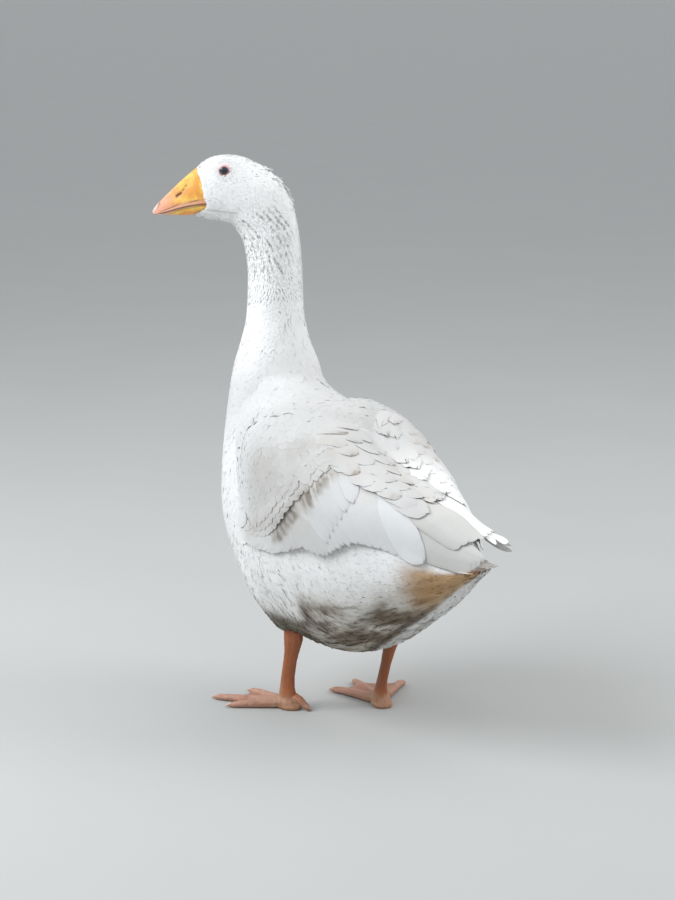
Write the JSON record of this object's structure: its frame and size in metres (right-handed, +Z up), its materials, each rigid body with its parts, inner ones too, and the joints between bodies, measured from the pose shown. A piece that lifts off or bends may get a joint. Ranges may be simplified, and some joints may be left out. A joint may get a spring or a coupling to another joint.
{
  "type": "standing domestic goose model",
  "caption": "Life-size model of a white domestic goose standing still, head turned to its left, wings folded over its back and webbed feet flat on the floor.",
  "frame": {"origin": "centre of the whole bird's box, at floor level", "axes": "+Z up; the body faces -Y and its left side is +X"},
  "size_m": [0.2426, 0.5292, 0.702],
  "materials": {
    "white_plumage": "soft white contour feathers",
    "wing_plumage": "smooth feather vanes, white to pale grey-buff",
    "bill": "satin horn and skin, orange turning pink at the tip",
    "eye": "wet gloss",
    "leg_skin": "scaly orange-pink skin"
  },
  "bodies": {
    "root": {"head": "white_plumage", "neck_upper": "white_plumage", "neck_lower": "white_plumage", "trunk": "white_plumage", "tail": "white_plumage", "thigh_left": "white_plumage", "thigh_right": "white_plumage", "wing_left": "wing_plumage", "wing_right": "wing_plumage", "primaries_left": "wing_plumage", "primaries_right": "wing_plumage", "bill_upper": "bill", "bill_lower": "bill", "eye_left": "eye", "eye_right": "eye", "leg_left": "leg_skin", "leg_right": "leg_skin", "foot_left": "leg_skin", "foot_right": "leg_skin"}
  },
  "joints": []
}
